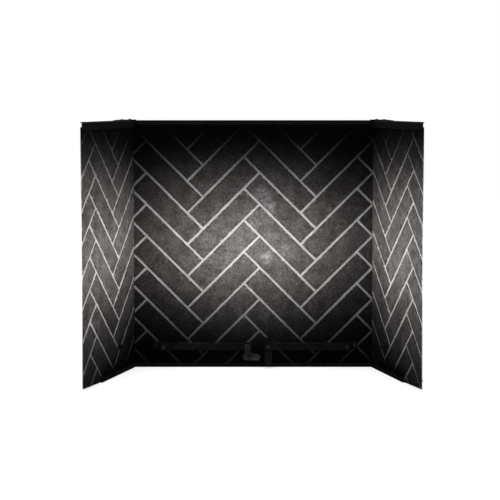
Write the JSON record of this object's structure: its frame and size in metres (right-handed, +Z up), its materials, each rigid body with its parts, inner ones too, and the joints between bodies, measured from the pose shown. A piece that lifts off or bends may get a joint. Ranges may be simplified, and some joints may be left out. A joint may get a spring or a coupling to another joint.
{
  "type": "fireplace brick panel",
  "caption": "Three-sided firebox lining of dark herringbone brick panels with pale recessed mortar, held in a folded steel frame with a low rear rail.",
  "frame": {"origin": "on the floor, midway between the two inside corners, in the plane of the back panel's brick faces", "axes": "+X to the right across the opening, +Y back through the back panel, +Z up"},
  "size_m": [0.9216, 0.3716, 0.705],
  "materials": {
    "brick": "matt charcoal fired clay slips with a grainy face",
    "mortar": "pale grey sanded mortar, sooted towards the edges",
    "board": "plain grey refractory backing board",
    "frame_steel": "matt black heat paint on folded sheet",
    "rail_steel": "dark heat-stained steel",
    "keeper_steel": "dull worn bare steel",
    "stud_steel": "black oxide",
    "fastener_steel": "dull heat-darkened zinc"
  },
  "bodies": {
    "frame": {"back_board": "board", "back_brick_column_1": "brick", "back_brick_column_2": "brick", "back_brick_column_3": "brick", "back_brick_column_4": "brick", "back_brick_column_5": "brick", "back_brick_column_6": "brick", "back_ledge": "frame_steel", "back_mortar": "mortar", "back_retainer": "frame_steel", "board_screws": "fastener_steel", "bracket_screws": "fastener_steel", "centre_post": "rail_steel", "foot_rivets": "fastener_steel", "keeper": "keeper_steel", "left_corner_post": "frame_steel", "left_end_bracket": "rail_steel", "left_foot_corner_plate": "frame_steel", "left_ledge": "frame_steel", "left_post_screws": "fastener_steel", "left_rail": "rail_steel", "left_retainer": "frame_steel", "left_top_corner_plate": "frame_steel", "middle_bracket": "rail_steel", "rail_bolts": "fastener_steel", "rail_nuts": "fastener_steel", "right_corner_post": "frame_steel", "right_end_bracket": "rail_steel", "right_foot_corner_plate": "frame_steel", "right_ledge": "frame_steel", "right_post_screws": "fastener_steel", "right_rail": "rail_steel", "right_retainer": "frame_steel", "right_top_corner_plate": "frame_steel", "top_rivets": "fastener_steel"},
    "left_panel": {"left_board": "board", "left_brick_column_1": "brick", "left_brick_column_2": "brick", "left_brick_column_3": "brick", "left_lifting_stud": "stud_steel", "left_mortar": "mortar"},
    "right_panel": {"right_board": "board", "right_brick_column_1": "brick", "right_brick_column_2": "brick", "right_brick_column_3": "brick", "right_lifting_stud": "stud_steel", "right_mortar": "mortar"}
  },
  "joints": [
    {"name": "left_lift", "type": "slide", "parent": "frame", "child": "left_panel", "axis": [0, 0, 1], "range_m": [0, 0.01]},
    {"name": "right_lift", "type": "slide", "parent": "frame", "child": "right_panel", "axis": [0, 0, 1], "range_m": [0, 0.01]}
  ]
}
